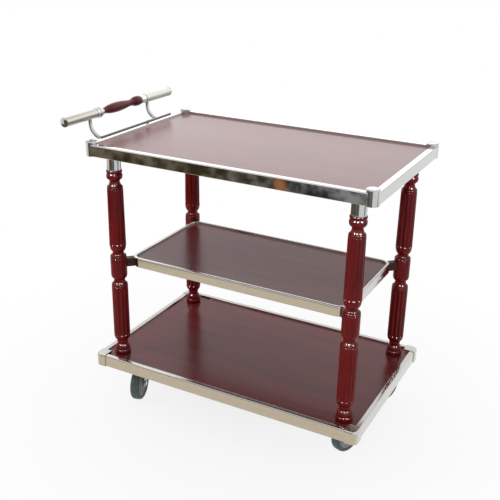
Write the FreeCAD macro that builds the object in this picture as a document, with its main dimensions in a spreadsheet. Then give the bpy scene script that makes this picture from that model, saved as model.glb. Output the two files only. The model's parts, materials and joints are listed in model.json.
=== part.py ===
import FreeCAD, Part
import math
import os

import Sketcher
from FreeCAD import Placement, Rotation, Vector

# Serving trolley: two framed trays and a smaller shelf on four turned legs, a push bar
# at the left end and four swivel castors. Millimetres, Z up, origin on the floor under
# the middle of the bounding box, handle towards -X.

LENGTHS = {
    # Trays: a board in a frame of folded steel rails, which reaches past the legs' middles
    "top_reach_x": 58, "top_reach_y": 50, "top_rail_tall": 31, "top_lip_wide": 18,
    "base_rail_tall": 35, "base_lip_wide": 14,
    "top_board_thick": 24, "base_board_thick": 28, "sheet_thick": 1.5, "rail_round": 3.5, "return_wide": 12,
    # Round posts at the top tray's corners
    "post_radius": 17, "post_proud": 1, "post_rise": 8, "post_drop": 1.5, "post_edge": 2.5, "fit_gap": 0.3,
    # Rounded caps at the base tray's corners, which lie a step out from the legs' middles
    "cap_off_leg": 24, "cap_side": 34, "cap_round": 16, "cap_proud": 3, "cap_rise": 2, "cap_edge": 5,
    # Turned legs: heights are above the foot
    "leg_x": 352, "leg_y": 197, "leg_tall": 562,
    "foot_radius": 23, "foot_tall": 14, "foot_edge": 2.5, "bell_radius": 20.8, "bell_top": 33,
    "neck_radius": 15.2, "shaft_radius": 23, "lower_shaft_low": 58, "lower_shaft_top": 218,
    "ring_radius": 22.6, "ring_tall": 6, "flare_tall": 13, "waist_tall": 5, "shoulder_tall": 13,
    "barrel_radius": 23, "barrel_top": 312, "upper_shaft_drop": 53,
    "collar_radius": 22.3, "collar_tall": 20, "collar_edge": 6,
    "flute_wide": 9, "flute_floor": 4.5, "flute_depth": 2.4,
    # Steel sleeves between the legs and the top board
    "sleeve_radius": 19.6, "sleeve_tall": 44, "flange_radius": 25, "flange_thick": 3,
    # Coach bolts up through the base board into the legs
    "leg_bolt_radius": 4, "leg_bolt_deep": 42, "bolt_head_radius": 7.5, "bolt_head_tall": 5,
    # Middle shelf, level with the legs' barrels
    "shelf_drop": 9.5, "shelf_step": 21.5, "shelf_round": 32, "shelf_rim_tall": 28, "shelf_lip_wide": 9,
    "shelf_recess": 5.5, "block_wide": 18, "block_tall": 24,
    # Push bar
    "bar_reach": 60, "bar_high": 50, "bar_long": 500, "tube_radius": 12.8, "tube_wall": 1.2,
    "tube_gap": 236, "plug_flange": 3, "plug_proud": 0.8, "plug_deep": 14, "rod_radius": 4,
    "ferrule_long": 30, "ferrule_radius": 15.6, "ferrule_bead_at": 16, "ferrule_end_radius": 13.6,
    "ferrule_ring_radius": 11.5, "ferrule_ring_long": 5, "end_ring_long": 24, "end_ring_radius": 11.8,
    "grip_neck_radius": 8.4, "grip_swell_radius": 14.2, "grip_waist_radius": 9, "grip_bead_radius": 14.4,
    "grip_end_radius": 11.6, "grip_swell_at": 68, "grip_waist_in": 51, "grip_bead_in": 15,
    "arm_radius": 5.5, "near_arm_out": 24, "far_arm_out": 13, "arm_bend": 45, "arm_drop": 12,
    "saddle_over": 5, "plate_past": 30, "plate_thick": 3, "plate_rise": 3.5, "plate_edge": 4,
    # Swivel castors
    "castor_in_x": 32, "castor_in_y": 52, "castor_plate_side": 68, "castor_plate_thick": 3,
    "race_radius": 23, "race_tall": 5, "race_gap": 0.5, "king_radius": 5, "king_head_radius": 9,
    "king_head_tall": 3, "king_head_gap": 0.2, "running_gap": 0.05,
    "crown_thick": 4, "crown_deep": 40, "fork_leg_thick": 3, "fork_clear": 0.6, "fork_shoulder": 12,
    "fork_boss": 11, "castor_trail": 35,
    "wheel_radius": 50, "wheel_gap": 14, "wheel_wide": 28, "tyre_edge": 4, "axle_radius": 5,
    "axle_head_radius": 8.5, "axle_head_tall": 4,
}
ANGLES = {
    "quarter_angle": 90, "round_angle": 360,
    "front_left_angle": 196, "front_right_angle": -19, "back_left_angle": 10, "back_right_angle": -28,
}
COUNTS = {
    "flute_count": 12,
}

doc = FreeCAD.newDocument("serving_trolley")
sheet = doc.addObject("Spreadsheet::Sheet", "Sizes")


# Sums of sizes that differ by less than this are the same
TINY = 1e-6


class Size:
    """A size that knows its number and the sheet expression that it comes from."""

    def __init__(self, number, words):
        self.number = number
        self.words = words

    def __add__(self, other):
        other = as_size(other)
        return Size(self.number + other.number, "(%s + %s)" % (self.words, other.words))

    __radd__ = __add__

    def __neg__(self):
        return Size(-self.number, "(-1 * %s)" % self.words)

    def __sub__(self, other):
        return self + (-as_size(other))

    def __rsub__(self, other):
        return as_size(other) + (-self)

    def __mul__(self, other):
        other = as_size(other)
        return Size(self.number * other.number, "(%s * %s)" % (self.words, other.words))

    __rmul__ = __mul__

    def __truediv__(self, other):
        other = as_size(other)
        return Size(self.number / other.number, "(%s / %s)" % (self.words, other.words))


def as_size(value):
    return value if isinstance(value, Size) else Size(float(value), repr(float(value)))


def square_root(size):
    return Size(math.sqrt(size.number), "sqrt(%s)" % size.words)


def sine(size):
    return Size(math.sin(math.radians(size.number)), "sin(%s * 1 deg)" % size.words)


def cosine(size):
    return Size(math.cos(math.radians(size.number)), "cos(%s * 1 deg)" % size.words)


class Names:
    """Sizes by name, such as mm.top_long."""


def fill(table, first_row):
    names = Names()
    for offset, (alias, value) in enumerate(table.items()):
        cell = "A%d" % (first_row + offset)
        sheet.set(cell, str(value))
        sheet.setAlias(cell, alias)
        setattr(names, alias, Size(float(value), "Sizes." + alias))
    return names


mm = fill(LENGTHS, 1)
turn = fill(ANGLES, 1 + len(LENGTHS))
count = fill(COUNTS, 1 + len(LENGTHS) + len(ANGLES))
doc.recompute()

ZERO = as_size(0)
parts = []


def bind(thing, path, size):
    thing.setExpression(path, size.words)


def place(thing, x=ZERO, y=ZERO, z=ZERO, angle=ZERO, axis=Vector(0, 0, 1)):
    thing.Placement = Placement(Vector(x.number, y.number, z.number), Rotation(axis, angle.number))
    for path, size in (("x", x), ("y", y), ("z", z)):
        if size is not ZERO:
            bind(thing, "Placement.Base." + path, size)
    if angle is not ZERO:
        bind(thing, "Placement.Rotation.Angle", angle)
    return thing


def new_body(label, alone=True):
    """A body, which is a node of its own unless it goes into a group."""
    body = doc.addObject("PartDesign::Body", label)
    body.Label = label
    if alone:
        parts.append(body)
    return body


def origin_feature(body, role):
    return next(item for item in body.Origin.OriginFeatures if item.Role == role)


def new_sketch(body, plane, lift=ZERO):
    """A sketch on one of the body's origin planes, lifted along the plane's normal."""
    sketch = body.newObject("Sketcher::SketchObject", body.Label + "_sketch")
    sketch.AttachmentSupport = (origin_feature(body, plane), [""])
    sketch.MapMode = "FlatFace"
    sketch.AttachmentOffset = Placement(Vector(0, 0, lift.number), Rotation())
    if lift is not ZERO:
        bind(sketch, "AttachmentOffset.Base.z", lift)
    return sketch


def hold(sketch, index, end, x, y):
    """Hold a sketch point at x, y: distances from the origin, or on an axis where one is zero."""
    for kind, size, axis in (("DistanceX", x, -2), ("DistanceY", y, -1)):
        if abs(size.number) < TINY:
            sketch.addConstraint(Sketcher.Constraint("PointOnObject", index, end, axis))
        elif size.number > 0:
            place_at = sketch.addConstraint(Sketcher.Constraint(kind, -1, 1, index, end, size.number))
            bind(sketch, "Constraints[%d]" % place_at, size)
        else:
            place_at = sketch.addConstraint(Sketcher.Constraint(kind, index, end, -1, 1, -size.number))
            bind(sketch, "Constraints[%d]" % place_at, -size)


def outline(sketch, corners):
    """Closed outline through corners (x, y) or (x, y, radius).

    A radius makes the edge that leaves the corner an arc: plus turns left, minus turns right.
    """
    shapes = []
    starts = []
    ends = []
    for here, there in zip(corners, corners[1:] + corners[:1]):
        a = Vector(here[0].number, here[1].number, 0)
        b = Vector(there[0].number, there[1].number, 0)
        if len(here) == 2:
            shapes.append(Part.LineSegment(a, b))
            starts.append(1)
            ends.append(2)
            continue
        radius = abs(here[2].number)
        left = here[2].number > 0
        chord = b - a
        side = Vector(-chord.y, chord.x, 0).normalize() * (1 if left else -1)
        reach = math.sqrt(max(radius ** 2 - (chord.Length / 2) ** 2, 0))
        centre = (a + b) / 2 + side * reach
        first, last = (a, b) if left else (b, a)
        angles = [math.atan2(point.y - centre.y, point.x - centre.x) for point in (first, last)]
        shapes.append(Part.ArcOfCircle(Part.Circle(centre, Vector(0, 0, 1), radius), *angles))
        starts.append(1 if left else 2)
        ends.append(2 if left else 1)
    indices = sketch.addGeometry(shapes, False)
    for n, corner in enumerate(corners):
        end_before = (indices[n - 1], ends[n - 1])
        sketch.addConstraint(Sketcher.Constraint("Coincident", *end_before, indices[n], starts[n]))
        hold(sketch, indices[n], starts[n], corner[0], corner[1])
        if len(corner) == 3:
            radius = corner[2] if corner[2].number > 0 else -corner[2]
            number = sketch.addConstraint(Sketcher.Constraint("Radius", indices[n], radius.number))
            bind(sketch, "Constraints[%d]" % number, radius)


def circle(sketch, x, y, radius):
    shape = Part.Circle(Vector(x.number, y.number, 0), Vector(0, 0, 1), radius.number)
    index = sketch.addGeometry(shape, False)
    hold(sketch, index, 3, x, y)
    number = sketch.addConstraint(Sketcher.Constraint("Radius", index, radius.number))
    bind(sketch, "Constraints[%d]" % number, radius)


def rectangle(sketch, left, low, right, high):
    outline(sketch, [(left, low), (right, low), (right, high), (left, high)])


def pad(body, sketch, length, backwards=False):
    feature = body.newObject("PartDesign::Pad", body.Label + "_pad")
    feature.Profile = sketch
    feature.Length = length.number
    bind(feature, "Length", length)
    feature.Reversed = backwards
    body.Tip = feature
    return feature


def pocket(body, sketch, depth, forwards=True):
    """Cut the sketch for a depth, along the sketch's normal unless told otherwise."""
    doc.recompute()
    before = body.Shape.Volume
    feature = body.newObject("PartDesign::Pocket", body.Label + "_pocket")
    feature.Profile = sketch
    feature.Length = depth.number
    bind(feature, "Length", depth)
    feature.Reversed = forwards
    body.Tip = feature
    doc.recompute()
    if not body.Shape.Volume < before:
        raise RuntimeError("a pocket cut nothing in " + body.Label)
    return feature


def revolve(body, sketch, axis="V_Axis"):
    feature = body.newObject("PartDesign::Revolution", body.Label + "_turning")
    feature.Profile = sketch
    feature.ReferenceAxis = (sketch, [axis])
    feature.Angle = turn.round_angle.number
    body.Tip = feature
    return feature


def primitive(kind, label, **sizes):
    thing = doc.addObject(kind, label)
    for name, size in sizes.items():
        setattr(thing, name, size.number)
        bind(thing, name, size)
    return thing


def fused(label, shapes):
    thing = doc.addObject("Part::MultiFuse", label)
    thing.Shapes = shapes
    return thing


def cut(label, base, tool):
    thing = doc.addObject("Part::Cut", label)
    thing.Base = base
    thing.Tool = tool
    return thing


def group(label, things):
    """Like pieces kept as separate solids in one node."""
    thing = doc.addObject("Part::Compound", label)
    thing.Label = label
    thing.Links = things
    parts.append(thing)
    return thing


CORNERS = (("front_left", -1, -1), ("front_right", 1, -1), ("back_right", 1, 1), ("back_left", -1, 1))

# Places that several pieces share. The push bar reaches past the left end, so the trays'
# middle lies half of that overhang to the right of the origin.
top_long = 2 * (mm.leg_x + mm.top_reach_x)
top_deep = 2 * (mm.leg_y + mm.top_reach_y)
cap_inset = mm.cap_side - mm.cap_proud
base_long = 2 * (mm.leg_x + mm.cap_off_leg + cap_inset)
base_deep = 2 * (mm.leg_y + mm.cap_off_leg + cap_inset)
mid_x = (mm.bar_reach + mm.ferrule_radius - mm.post_proud) / 2
post_inset = mm.post_radius - mm.post_proud

# Heights, from the castors up
crown_low = 2 * mm.wheel_radius + mm.wheel_gap
crown_top = crown_low + mm.crown_thick
race_low = crown_top + mm.race_gap
castor_top = race_low + mm.race_tall + mm.castor_plate_thick
base_board_low = castor_top
base_rail_low = base_board_low - mm.sheet_thick
base_board_top = base_board_low + mm.base_board_thick
sleeve_low = base_board_top + mm.leg_tall
top_board_low = sleeve_low + mm.sleeve_tall
top_rail_low = top_board_low - mm.sheet_thick
top_crest = top_rail_low + mm.top_rail_tall
shelf_crest = base_board_top + mm.barrel_top - mm.shelf_drop


# Rails: steel sheet folded into a channel that grips the edge of the board. The upper edge
# is rolled, its lip is turned down onto the board, and a return lies under the board.
def rail_section(sketch, tall, lip_wide, board_thick):
    t = mm.sheet_thick
    r = mm.rail_round
    board_top = t + board_thick
    outline(sketch, [
        (ZERO, ZERO), (mm.return_wide, ZERO), (mm.return_wide, t), (t, t), (t, tall - t),
        (lip_wide - t, tall - t), (lip_wide - t, board_top), (lip_wide, board_top), (lip_wide, tall),
        (r, tall, r), (ZERO, tall - r),
    ])


def rails(tray, long, deep, low, tall, lip_wide, board_thick, end_gap):
    """The four rails of a tray. Each is drawn along X with the board towards +Y, and turned."""
    made = []
    for side, quarters, length, x, y in (
            ("front", 0, long, mid_x, -deep / 2), ("right", 1, deep, mid_x + long / 2, ZERO),
            ("back", 2, long, mid_x, deep / 2), ("left", 3, deep, mid_x - long / 2, ZERO)):
        body = new_body("%s_rail_%s" % (tray, side))
        half = length / 2 - end_gap
        sketch = new_sketch(body, "YZ_Plane", -half)
        rail_section(sketch, tall, lip_wide, board_thick)
        pad(body, sketch, 2 * half)
        place(body, x, y, low, quarters * turn.quarter_angle)
        made.append((body, half))
    return made


top_rails = rails("top", top_long, top_deep, top_rail_low, mm.top_rail_tall, mm.top_lip_wide,
                  mm.top_board_thick, post_inset)
rails("base", base_long, base_deep, base_rail_low, mm.base_rail_tall, mm.base_lip_wide,
      mm.base_board_thick, cap_inset)

# The top rails reach the posts' centres and are coped round them
for body, half in top_rails:
    ends = new_sketch(body, "XY_Plane")
    for side in (-1, 1):
        circle(ends, side * half, post_inset, mm.post_radius + mm.fit_gap)
    pocket(body, ends, mm.top_rail_tall)


# Top board: laminate-faced board whose corners are cut hollow, round the posts.
top_board = new_body("top_board")
half_x = top_long / 2 - mm.sheet_thick
half_y = top_deep / 2 - mm.sheet_thick
hollow = mm.post_radius + mm.fit_gap
corner_in = post_inset - mm.sheet_thick
bite = corner_in + square_root(hollow * hollow - corner_in * corner_in)
reach = corner_in + hollow / square_root(as_size(2))
board_corners = []
for name, side_x, side_y in CORNERS:
    on_long = (side_x * (half_x - bite), side_y * half_y)
    on_short = (side_x * half_x, side_y * (half_y - bite))
    middle = (side_x * (half_x - reach), side_y * (half_y - reach))
    first, last = (on_short, on_long) if side_x == side_y else (on_long, on_short)
    board_corners += [first + (-hollow,), middle + (-hollow,), last]
board_sketch = new_sketch(top_board, "XY_Plane")
outline(board_sketch, board_corners)
pad(top_board, board_sketch, mm.top_board_thick)
place(top_board, mid_x, ZERO, top_board_low)

# Corner posts of the top tray: steel rod with a chamfered upper edge, a little proud.
posts = []
for name, side_x, side_y in CORNERS:
    shank_tall = mm.post_drop + mm.top_rail_tall + mm.post_rise - mm.post_edge
    shank = primitive("Part::Cylinder", "post_shank", Radius=mm.post_radius, Height=shank_tall)
    tip = primitive("Part::Cone", "post_tip", Radius1=mm.post_radius, Radius2=mm.post_radius - mm.post_edge,
                    Height=mm.post_edge)
    place(tip, ZERO, ZERO, shank_tall)
    post = fused("top_post_" + name, [shank, tip])
    place(post, mid_x + side_x * (top_long / 2 - post_inset), side_y * (top_deep / 2 - post_inset),
          top_rail_low - mm.post_drop)
    posts.append(post)
group("top_posts", posts)

# Base board: as the top board, with square notches for the caps.
base_board = new_body("base_board")
half_x = base_long / 2 - mm.sheet_thick
half_y = base_deep / 2 - mm.sheet_thick
notch = cap_inset - mm.sheet_thick + mm.fit_gap
board_sketch = new_sketch(base_board, "XY_Plane")
outline(board_sketch, [
    (-half_x, -half_y + notch), (-half_x + notch, -half_y + notch), (-half_x + notch, -half_y),
    (half_x - notch, -half_y), (half_x - notch, -half_y + notch), (half_x, -half_y + notch),
    (half_x, half_y - notch), (half_x - notch, half_y - notch), (half_x - notch, half_y),
    (-half_x + notch, half_y), (-half_x + notch, half_y - notch), (-half_x, half_y - notch),
])
pad(base_board, board_sketch, mm.base_board_thick)
place(base_board, mid_x, ZERO, base_board_low)

# Corner caps of the base tray: castings with one rounded corner and a bevelled upper edge,
# butted by the rails.
caps = []
for quarters, (name, side_x, side_y) in enumerate(CORNERS):
    cap = new_body("base_cap_" + name, alone=False)
    cap_sketch = new_sketch(cap, "XY_Plane")
    outline(cap_sketch, [
        (mm.cap_round, ZERO), (mm.cap_side, ZERO), (mm.cap_side, mm.cap_side), (ZERO, mm.cap_side),
        (ZERO, mm.cap_round, mm.cap_round),
    ])
    cap_pad = pad(cap, cap_sketch, mm.base_rail_tall + mm.cap_rise)
    doc.recompute()
    top = cap.Shape.BoundBox.ZMax
    inside = mm.cap_side.number - TINY
    outer_edges = []
    for number, edge in enumerate(cap.Shape.Edges):
        middle = edge.CenterOfMass
        on_top = edge.BoundBox.ZMin > top - TINY
        if on_top and middle.x < inside and middle.y < inside:
            outer_edges.append("Edge%d" % (number + 1))
    bevel = cap.newObject("PartDesign::Chamfer", cap.Label + "_bevel")
    bevel.Base = (cap_pad, outer_edges)
    bevel.Size = mm.cap_edge.number
    bind(bevel, "Size", mm.cap_edge)
    cap.Tip = bevel
    place(cap, mid_x + side_x * (base_long / 2 + mm.cap_proud), side_y * (base_deep / 2 + mm.cap_proud),
          base_rail_low, quarters * turn.quarter_angle)
    caps.append(cap)
group("base_caps", caps)


# Legs: one-piece wood turnings. From the floor up: foot, bell and neck, fluted lower shaft,
# crown and waist, plain barrel that carries the shelf, crown and waist again, fluted upper
# shaft, crown and neck, and the collar under the sleeve.
def crown(top):
    """Ring and flare that finish a shaft or the barrel, down to the slim waist above it."""
    ring_top = top + mm.ring_tall
    return [(mm.ring_radius, top), (mm.ring_radius, ring_top), (mm.neck_radius, ring_top + mm.flare_tall),
            (mm.neck_radius, ring_top + mm.flare_tall + mm.waist_tall)]


def above_crown(top):
    """Height at which the shoulder above a crown and its waist reaches full width."""
    return top + mm.ring_tall + mm.flare_tall + mm.waist_tall + mm.shoulder_tall


upper_shaft_low = above_crown(mm.barrel_top)
upper_shaft_top = mm.leg_tall - mm.upper_shaft_drop
collar_low = mm.leg_tall - mm.collar_tall
for name, side_x, side_y in CORNERS:
    leg = new_body("leg_" + name)
    profile = new_sketch(leg, "XZ_Plane")
    outline(profile, [
        (ZERO, ZERO), (mm.foot_radius - mm.foot_edge, ZERO), (mm.foot_radius, mm.foot_edge),
        (mm.foot_radius, mm.foot_tall), (mm.bell_radius, mm.foot_tall), (mm.neck_radius, mm.bell_top),
        (mm.neck_radius, mm.lower_shaft_low - mm.shoulder_tall), (mm.shaft_radius, mm.lower_shaft_low),
        (mm.shaft_radius, mm.lower_shaft_top)]
        + crown(mm.lower_shaft_top)
        + [(mm.barrel_radius, above_crown(mm.lower_shaft_top)), (mm.barrel_radius, mm.barrel_top)]
        + crown(mm.barrel_top)
        + [(mm.shaft_radius, upper_shaft_low), (mm.shaft_radius, upper_shaft_top)]
        + crown(upper_shaft_top)[:3]
        + [(mm.neck_radius, collar_low), (mm.collar_radius, collar_low + mm.collar_edge),
           (mm.collar_radius, mm.leg_tall), (ZERO, mm.leg_tall)])
    revolve(leg, profile)
    # Flutes: one sloping-sided cut along each shaft, repeated about the leg's axis
    cuts = []
    for low, high in ((mm.lower_shaft_low, mm.lower_shaft_top), (upper_shaft_low, upper_shaft_top)):
        floor = mm.shaft_radius - mm.flute_depth
        mouth = mm.shaft_radius + mm.flute_depth
        half_floor = mm.flute_floor / 2
        half_mouth = mm.flute_wide - half_floor
        flute = new_sketch(leg, "XY_Plane", low)
        outline(flute, [
            (floor, -half_floor), (mouth, -half_mouth), (mouth, half_mouth), (floor, half_floor),
        ])
        cuts.append(pocket(leg, flute, high - low))
    pattern = leg.newObject("PartDesign::PolarPattern", leg.Label + "_flutes")
    pattern.Originals = cuts
    pattern.Axis = (origin_feature(leg, "Z_Axis"), [""])
    pattern.Angle = turn.round_angle.number
    pattern.Occurrences = int(count.flute_count.number)
    bind(pattern, "Occurrences", count.flute_count)
    leg.Tip = pattern
    place(leg, mid_x + side_x * mm.leg_x, side_y * mm.leg_y, base_board_top)

# Sleeves: steel tube ends with a round flange, from the legs' collars to the top board.
sleeves = []
for name, side_x, side_y in CORNERS:
    stem = primitive("Part::Cylinder", "sleeve_stem", Radius=mm.sleeve_radius, Height=mm.sleeve_tall)
    flange = primitive("Part::Cylinder", "sleeve_flange", Radius=mm.flange_radius, Height=mm.flange_thick)
    place(flange, ZERO, ZERO, mm.sleeve_tall - mm.flange_thick)
    sleeve = fused("leg_sleeve_" + name, [stem, flange])
    place(sleeve, mid_x + side_x * mm.leg_x, side_y * mm.leg_y, sleeve_low)
    sleeves.append(sleeve)
group("leg_sleeves", sleeves)

# Leg bolts: coach bolts driven from under the base board up into the legs' feet.
bolts = []
for name, side_x, side_y in CORNERS:
    shank = primitive("Part::Cylinder", "bolt_shank", Radius=mm.leg_bolt_radius,
                      Height=mm.bolt_head_tall + mm.base_board_thick + mm.leg_bolt_deep)
    head = primitive("Part::Prism", "bolt_head", Circumradius=mm.bolt_head_radius, Height=mm.bolt_head_tall)
    bolt = fused("leg_bolt_" + name, [shank, head])
    place(bolt, mid_x + side_x * mm.leg_x, side_y * mm.leg_y, base_board_low - mm.bolt_head_tall)
    bolts.append(bolt)
group("leg_bolts", bolts)


# Middle shelf: a round-cornered board in one bent band, whose lip stands over the board.
def round_rectangle(sketch, half_long, half_deep, radius):
    a = half_long
    b = half_deep
    outline(sketch, [
        (-a + radius, -b), (a - radius, -b, radius), (a, -b + radius), (a, b - radius, radius),
        (a - radius, b), (-a + radius, b, radius), (-a, b - radius), (-a, -b + radius, radius),
    ])


shelf_half_x = mm.leg_x - mm.shelf_step
shelf_half_y = mm.leg_y - mm.shelf_step
shelf_low = shelf_crest - mm.shelf_rim_tall
t = mm.sheet_thick
shelf_board = new_body("shelf_board")
board_sketch = new_sketch(shelf_board, "XY_Plane", t)
round_rectangle(board_sketch, shelf_half_x - t, shelf_half_y - t, mm.shelf_round - t)
pad(shelf_board, board_sketch, mm.shelf_rim_tall - mm.shelf_recess - t)
place(shelf_board, mid_x, ZERO, shelf_low)

shelf_band = new_body("shelf_band")
lip_inner = mm.shelf_lip_wide - t
for low, high, outer, inner in ((ZERO, mm.shelf_rim_tall, ZERO, t), (ZERO, t, t, mm.shelf_lip_wide),
                                (mm.shelf_rim_tall - t, mm.shelf_rim_tall, t, mm.shelf_lip_wide),
                                (mm.shelf_rim_tall - mm.shelf_recess, mm.shelf_rim_tall - t, lip_inner,
                                 mm.shelf_lip_wide)):
    ring_sketch = new_sketch(shelf_band, "XY_Plane", low)
    round_rectangle(ring_sketch, shelf_half_x - outer, shelf_half_y - outer, mm.shelf_round - outer)
    round_rectangle(ring_sketch, shelf_half_x - inner, shelf_half_y - inner, mm.shelf_round - inner)
    pad(shelf_band, ring_sketch, high - low)
place(shelf_band, mid_x, ZERO, shelf_low)

# Shelf blocks: stained blocks between the legs' barrels and the band's corners, hollowed to
# fit both.
block_near = mm.barrel_radius + mm.fit_gap
block_far = square_root(as_size(2)) * (mm.shelf_step + mm.shelf_round) - mm.shelf_round
blocks = []
for quarters, (name, side_x, side_y) in enumerate(CORNERS):
    blank = primitive("Part::Box", "block_blank", Length=block_far + mm.block_wide, Width=mm.block_wide,
                      Height=mm.block_tall)
    place(blank, ZERO, -mm.block_wide / 2)
    barrel = primitive("Part::Cylinder", "block_barrel", Radius=block_near, Height=mm.block_tall)
    corner = primitive("Part::Cylinder", "block_corner", Radius=mm.shelf_round + mm.running_gap,
                       Height=mm.block_tall)
    place(corner, block_far + mm.shelf_round)
    block = cut("shelf_block_" + name, blank, fused("block_hollows", [barrel, corner]))
    place(block, mid_x + side_x * mm.leg_x, side_y * mm.leg_y,
          shelf_low + (mm.shelf_rim_tall - mm.block_tall) / 2,
          quarters * turn.quarter_angle + turn.quarter_angle / 2)
    blocks.append(block)
group("shelf_blocks", blocks)

# Push bar: steel tubes, chrome ferrules and a turned wood grip on one rod. Places along the
# bar are from its middle, and the near end is towards -Y.
bar_x = mid_x - top_long / 2 - mm.bar_reach
bar_z = top_crest + mm.bar_high
bar_half = mm.bar_long / 2
gap_half = mm.tube_gap / 2
ALONG_X = Vector(1, 0, 0)
ALONG_Y = Vector(0, 1, 0)


def on_bar(label, corners, start, alone=True):
    """A piece turned about the bar: corners are a distance along the bar and a radius."""
    body = new_body(label, alone)
    sketch = new_sketch(body, "YZ_Plane")
    outline(sketch, corners)
    revolve(body, sketch, "H_Axis")
    place(body, bar_x, start, bar_z)
    return body


rod_bore = mm.rod_radius + mm.running_gap
tube_long = bar_half - gap_half - mm.plug_flange
tube_bore = mm.tube_radius - mm.tube_wall
tubes = [
    on_bar("bar_tube", [(ZERO, tube_bore), (tube_long, tube_bore), (tube_long, mm.tube_radius),
                        (ZERO, mm.tube_radius)], start, alone=False)
    for start in (-bar_half + mm.plug_flange, gap_half)
]
group("bar_tubes", tubes)

grip_start = -gap_half + mm.ferrule_long
grip_end = gap_half - mm.end_ring_long
ferrule = on_bar("bar_ferrule", [
    (ZERO, rod_bore), (mm.ferrule_long, rod_bore), (mm.ferrule_long, mm.ferrule_ring_radius),
    (mm.ferrule_long - mm.ferrule_ring_long, mm.ferrule_ring_radius),
    (mm.ferrule_bead_at, mm.ferrule_radius), (ZERO, mm.ferrule_end_radius),
], -gap_half, alone=False)
end_ring = on_bar("bar_end_ring", [
    (ZERO, rod_bore), (mm.end_ring_long, rod_bore), (mm.end_ring_long, mm.end_ring_radius),
    (ZERO, mm.end_ring_radius),
], grip_end, alone=False)
group("bar_ferrules", [ferrule, end_ring])
grip_long = grip_end - grip_start
on_bar("bar_grip", [
    (ZERO, rod_bore), (grip_long, rod_bore), (grip_long, mm.grip_end_radius),
    (grip_long - mm.grip_bead_in, mm.grip_bead_radius),
    (grip_long - mm.grip_waist_in, mm.grip_waist_radius), (mm.grip_swell_at, mm.grip_swell_radius),
    (ZERO, mm.grip_neck_radius),
], grip_start)

# The rod reaches from plug to plug
rod_half = bar_half - mm.plug_deep
rod = primitive("Part::Cylinder", "bar_rod", Radius=mm.rod_radius, Height=2 * rod_half)
rod.Label = "bar_rod"
place(rod, bar_x, -rod_half, bar_z, -turn.quarter_angle, ALONG_X)
parts.append(rod)

# Plugs: pressed into the tubes' outer ends, with a flange over each end.
plugs = []
for side in (-1, 1):
    flange = primitive("Part::Cylinder", "plug_flange", Radius=mm.tube_radius + mm.plug_proud,
                       Height=mm.plug_flange)
    stem = primitive("Part::Cylinder", "plug_stem", Radius=tube_bore - mm.running_gap, Height=mm.plug_deep)
    plug = fused("bar_plug", [flange, stem])
    place(plug, bar_x, side * bar_half, bar_z, side * turn.quarter_angle, ALONG_X)
    plugs.append(plug)
group("bar_plugs", plugs)

# Arms: round rod, cut to fit under the tubes, then down and inward in one wide bend to the
# plate.
arm_fall = mm.bar_high + mm.arm_drop
arm_run = mm.bar_reach - mm.plate_thick
bend = mm.arm_bend
saddle_half = mm.arm_radius + mm.saddle_over
near_arm = gap_half + mm.near_arm_out
arms = []
for arm_y in (-near_arm, gap_half + mm.far_arm_out):
    arm = new_body("bar_arm", alone=False)
    path = new_sketch(arm, "XZ_Plane")
    bend_top = Vector(0, -(arm_fall - bend).number, 0)
    bend_end = Vector(bend.number, -arm_fall.number, 0)
    bend_circle = Part.Circle(Vector(bend_end.x, bend_top.y, 0), Vector(0, 0, 1), bend.number)
    path.addGeometry([
        Part.LineSegment(Vector(), bend_top),
        Part.ArcOfCircle(bend_circle, math.pi, math.pi + math.pi / 2),
        Part.LineSegment(bend_end, Vector(arm_run.number, bend_end.y, 0)),
    ], False)
    path.addConstraint(Sketcher.Constraint("Coincident", 0, 2, 1, 1))
    path.addConstraint(Sketcher.Constraint("Coincident", 1, 2, 2, 1))
    hold(path, 0, 1, ZERO, ZERO)
    hold(path, 0, 2, ZERO, -(arm_fall - bend))
    hold(path, 2, 1, bend, -arm_fall)
    hold(path, 2, 2, arm_run, -arm_fall)
    number = path.addConstraint(Sketcher.Constraint("Radius", 1, bend.number))
    bind(path, "Constraints[%d]" % number, bend)
    section = new_sketch(arm, "XY_Plane")
    circle(section, ZERO, ZERO, mm.arm_radius)
    pipe = arm.newObject("PartDesign::AdditivePipe", "bar_arm_pipe")
    pipe.Profile = section
    pipe.Spine = path
    arm.Tip = pipe
    saddle = new_sketch(arm, "XZ_Plane", -saddle_half)
    circle(saddle, ZERO, ZERO, mm.tube_radius)
    pocket(arm, saddle, 2 * saddle_half)
    place(arm, bar_x, arm_y, bar_z)
    arms.append(arm)
group("bar_arms", arms)

# Bar plate: flat steel on the outside of the left rail, a little higher than its crest, that
# carries the arms.
plate = new_body("bar_plate")
plate_tall = mm.top_rail_tall + mm.plate_rise
e = mm.plate_edge
p = near_arm + mm.plate_past
plate_sketch = new_sketch(plate, "YZ_Plane")
outline(plate_sketch, [
    (-p + e, ZERO), (p - e, ZERO), (p, e), (p, plate_tall - e), (p - e, plate_tall), (-p + e, plate_tall),
    (-p, plate_tall - e), (-p, e),
])
pad(plate, plate_sketch, mm.plate_thick)
place(plate, mid_x - top_long / 2 - mm.plate_thick, ZERO, top_rail_low)

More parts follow.
